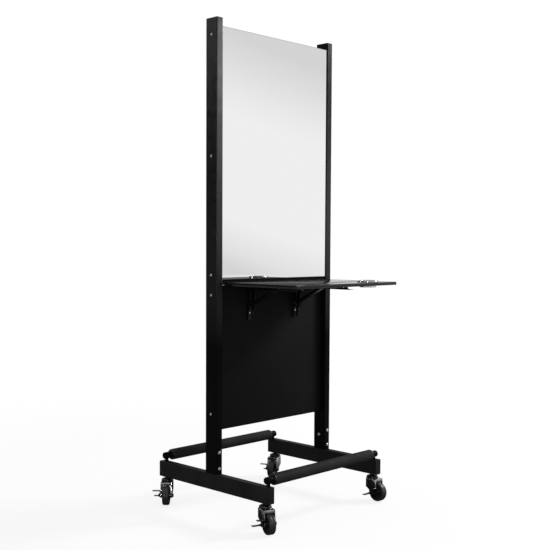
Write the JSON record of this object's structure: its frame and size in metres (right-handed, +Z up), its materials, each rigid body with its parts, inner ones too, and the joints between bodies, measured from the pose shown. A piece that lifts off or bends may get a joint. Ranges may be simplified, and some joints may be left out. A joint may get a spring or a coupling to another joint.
{
  "type": "double sided salon station",
  "caption": "Free-standing black salon station on casters: back to back mirrors between box-tube uprights, folding shelves with tool rings, and rolling foot bars.",
  "frame": {"origin": "point on the floor midway between the two uprights", "axes": "+Z up; +X across the station towards the upright beside the front shelf's tool ring; -Y towards the side whose shelf is open"},
  "size_m": [0.7073, 0.7182, 1.84],
  "materials": {
    "powder_coated_steel": "satin black powder coat",
    "black_board": "black melamine board, light satin",
    "core_wood": "bare planed wood, hidden",
    "mirror_glass": "silvered float glass",
    "chrome": "polished chrome",
    "zinc_steel": "bright zinc",
    "black_oxide_steel": "black oxide, slightly oily",
    "spring_steel": "tempered strip",
    "black_plastic": "moulded, fine matt grain",
    "grey_plastic": "moulded, glossy dark grey",
    "grey_tread": "smooth grey tread"
  },
  "bodies": {
    "frame": {"left_upright": "powder_coated_steel", "right_upright": "powder_coated_steel", "tube_end_caps": "black_plastic", "left_foot_tube": "powder_coated_steel", "right_foot_tube": "powder_coated_steel", "foot_stubs": "powder_coated_steel", "foot_joint_bolts": "zinc_steel", "mirror_core_frame": "core_wood", "mirror_backing_boards": "black_board", "front_mirror": "mirror_glass", "rear_mirror": "mirror_glass", "side_screws": "zinc_steel", "lower_panel": "black_board", "footrest_brackets": "powder_coated_steel", "footrest_tubes": "powder_coated_steel", "bracket_pins": "zinc_steel", "bracket_leg_screws": "zinc_steel", "bracket_legs": "powder_coated_steel", "caster_stems": "zinc_steel", "caster_dome_covers": "black_plastic"},
    "front_roller": {"front_footrest_roller": "powder_coated_steel", "front_roller_bushes": "black_plastic"},
    "rear_roller": {"rear_footrest_roller": "powder_coated_steel", "rear_roller_bushes": "black_plastic"},
    "front_shelf_leaf": {"front_shelf": "black_board", "front_tool_holder": "chrome", "front_bracket_arms": "powder_coated_steel", "front_arm_screws": "zinc_steel", "front_latch_springs": "spring_steel"},
    "front_braces": {"front_bracket_braces": "powder_coated_steel", "front_brace_pins": "zinc_steel"},
    "front_levers": {"front_release_levers": "powder_coated_steel"},
    "rear_shelf_leaf": {"rear_shelf": "black_board", "rear_tool_holder": "chrome", "rear_bracket_arms": "powder_coated_steel", "rear_arm_screws": "zinc_steel", "rear_latch_springs": "spring_steel"},
    "rear_braces": {"rear_bracket_braces": "powder_coated_steel", "rear_brace_pins": "zinc_steel"},
    "rear_levers": {"rear_release_levers": "powder_coated_steel"},
    "front_left_swivel": {"front_left_caster_fork": "chrome", "front_left_caster_axle": "black_oxide_steel"},
    "front_left_wheel": {"front_left_wheel_hub": "grey_plastic", "front_left_tyre": "grey_tread"},
    "front_left_brake": {"front_left_brake_lever": "zinc_steel"},
    "front_right_swivel": {"front_right_caster_fork": "chrome", "front_right_caster_axle": "black_oxide_steel"},
    "front_right_wheel": {"front_right_wheel_hub": "grey_plastic", "front_right_tyre": "grey_tread"},
    "front_right_brake": {"front_right_brake_lever": "zinc_steel"},
    "rear_left_swivel": {"rear_left_caster_fork": "chrome", "rear_left_caster_axle": "black_oxide_steel"},
    "rear_left_wheel": {"rear_left_wheel_hub": "grey_plastic", "rear_left_tyre": "grey_tread"},
    "rear_left_brake": {"rear_left_brake_lever": "zinc_steel"},
    "rear_right_swivel": {"rear_right_caster_fork": "chrome", "rear_right_caster_axle": "black_oxide_steel"},
    "rear_right_wheel": {"rear_right_wheel_hub": "grey_plastic", "rear_right_tyre": "grey_tread"},
    "rear_right_brake": {"rear_right_brake_lever": "zinc_steel"}
  },
  "joints": [
    {"name": "front_roller_spin", "type": "hinge", "parent": "frame", "child": "front_roller", "pos_m": [0, -0.28, 0.186], "axis": [1, 0, 0], "continuous": true},
    {"name": "rear_roller_spin", "type": "hinge", "parent": "frame", "child": "rear_roller", "pos_m": [0, 0.28, 0.186], "axis": [1, 0, 0], "continuous": true},
    {"name": "front_shelf_fold", "type": "hinge", "parent": "frame", "child": "front_shelf_leaf", "pos_m": [0, -0.02, 0.856], "axis": [1, 0, 0], "range_deg": [0, 90]},
    {"name": "front_brace_swing", "type": "hinge", "parent": "frame", "child": "front_braces", "pos_m": [0, -0.02, 0.784], "axis": [1, 0, 0], "range_deg": [0, 117.3]},
    {"name": "front_lever_press", "type": "hinge", "parent": "front_shelf_leaf", "child": "front_levers", "pos_m": [0, -0.235, 0.851], "axis": [-1, 0, 0], "range_deg": [0, 3.7], "stiffness_Nm_per_rad": 1, "springref_deg": -17.19, "deforming": ["front_latch_springs"]},
    {"name": "rear_shelf_fold", "type": "hinge", "parent": "frame", "child": "rear_shelf_leaf", "pos_m": [0, 0.02, 0.856], "axis": [1, 0, 0], "range_deg": [0, 90]},
    {"name": "rear_brace_swing", "type": "hinge", "parent": "frame", "child": "rear_braces", "pos_m": [0, 0.02, 0.784], "axis": [1, 0, 0], "range_deg": [0, 117.3]},
    {"name": "rear_lever_press", "type": "hinge", "parent": "rear_shelf_leaf", "child": "rear_levers", "pos_m": [0, 0.015, 0.641], "axis": [1, 0, 0], "range_deg": [0, 3.7], "stiffness_Nm_per_rad": 1, "springref_deg": -17.19, "deforming": ["rear_latch_springs"]},
    {"name": "front_left_caster_swivel", "type": "hinge", "parent": "frame", "child": "front_left_swivel", "pos_m": [-0.305, -0.27, 0.08675], "axis": [0, 0, 1], "continuous": true},
    {"name": "front_left_wheel_spin", "type": "hinge", "parent": "front_left_swivel", "child": "front_left_wheel", "pos_m": [-0.31526, -0.29819, 0.0375], "axis": [0.9397, -0.342, 0], "continuous": true},
    {"name": "front_left_brake_press", "type": "hinge", "parent": "front_left_swivel", "child": "front_left_brake", "pos_m": [-0.31526, -0.29819, 0.0375], "axis": [0.9397, -0.342, 0], "range_deg": [0, 25]},
    {"name": "front_right_caster_swivel", "type": "hinge", "parent": "frame", "child": "front_right_swivel", "pos_m": [0.305, -0.27, 0.08675], "axis": [0, 0, 1], "continuous": true},
    {"name": "front_right_wheel_spin", "type": "hinge", "parent": "front_right_swivel", "child": "front_right_wheel", "pos_m": [0.30343, -0.29996, 0.0375], "axis": [0.9986, -0.0523, 0], "continuous": true},
    {"name": "front_right_brake_press", "type": "hinge", "parent": "front_right_swivel", "child": "front_right_brake", "pos_m": [0.30343, -0.29996, 0.0375], "axis": [0.9986, -0.0523, 0], "range_deg": [0, 25]},
    {"name": "rear_left_caster_swivel", "type": "hinge", "parent": "frame", "child": "rear_left_swivel", "pos_m": [-0.305, 0.27, 0.08675], "axis": [0, 0, 1], "continuous": true},
    {"name": "rear_left_wheel_spin", "type": "hinge", "parent": "rear_left_swivel", "child": "rear_left_wheel", "pos_m": [-0.32729, 0.24993, 0.0375], "axis": [0.6691, -0.7431, 0], "continuous": true},
    {"name": "rear_left_brake_press", "type": "hinge", "parent": "rear_left_swivel", "child": "rear_left_brake", "pos_m": [-0.32729, 0.24993, 0.0375], "axis": [0.6691, -0.7431, 0], "range_deg": [0, 25]},
    {"name": "rear_right_caster_swivel", "type": "hinge", "parent": "frame", "child": "rear_right_swivel", "pos_m": [0.305, 0.27, 0.08675], "axis": [0, 0, 1], "continuous": true},
    {"name": "rear_right_wheel_spin", "type": "hinge", "parent": "rear_right_swivel", "child": "rear_right_wheel", "pos_m": [0.27738, 0.25828, 0.0375], "axis": [0.3907, -0.9205, 0], "continuous": true},
    {"name": "rear_right_brake_press", "type": "hinge", "parent": "rear_right_swivel", "child": "rear_right_brake", "pos_m": [0.27738, 0.25828, 0.0375], "axis": [0.3907, -0.9205, 0], "range_deg": [0, 25]}
  ],
  "couplings": [
    {"joint": "front_brace_swing", "follows": "front_shelf_fold", "ratio": 1.3033},
    {"joint": "rear_brace_swing", "follows": "rear_shelf_fold", "ratio": 1.3033}
  ]
}
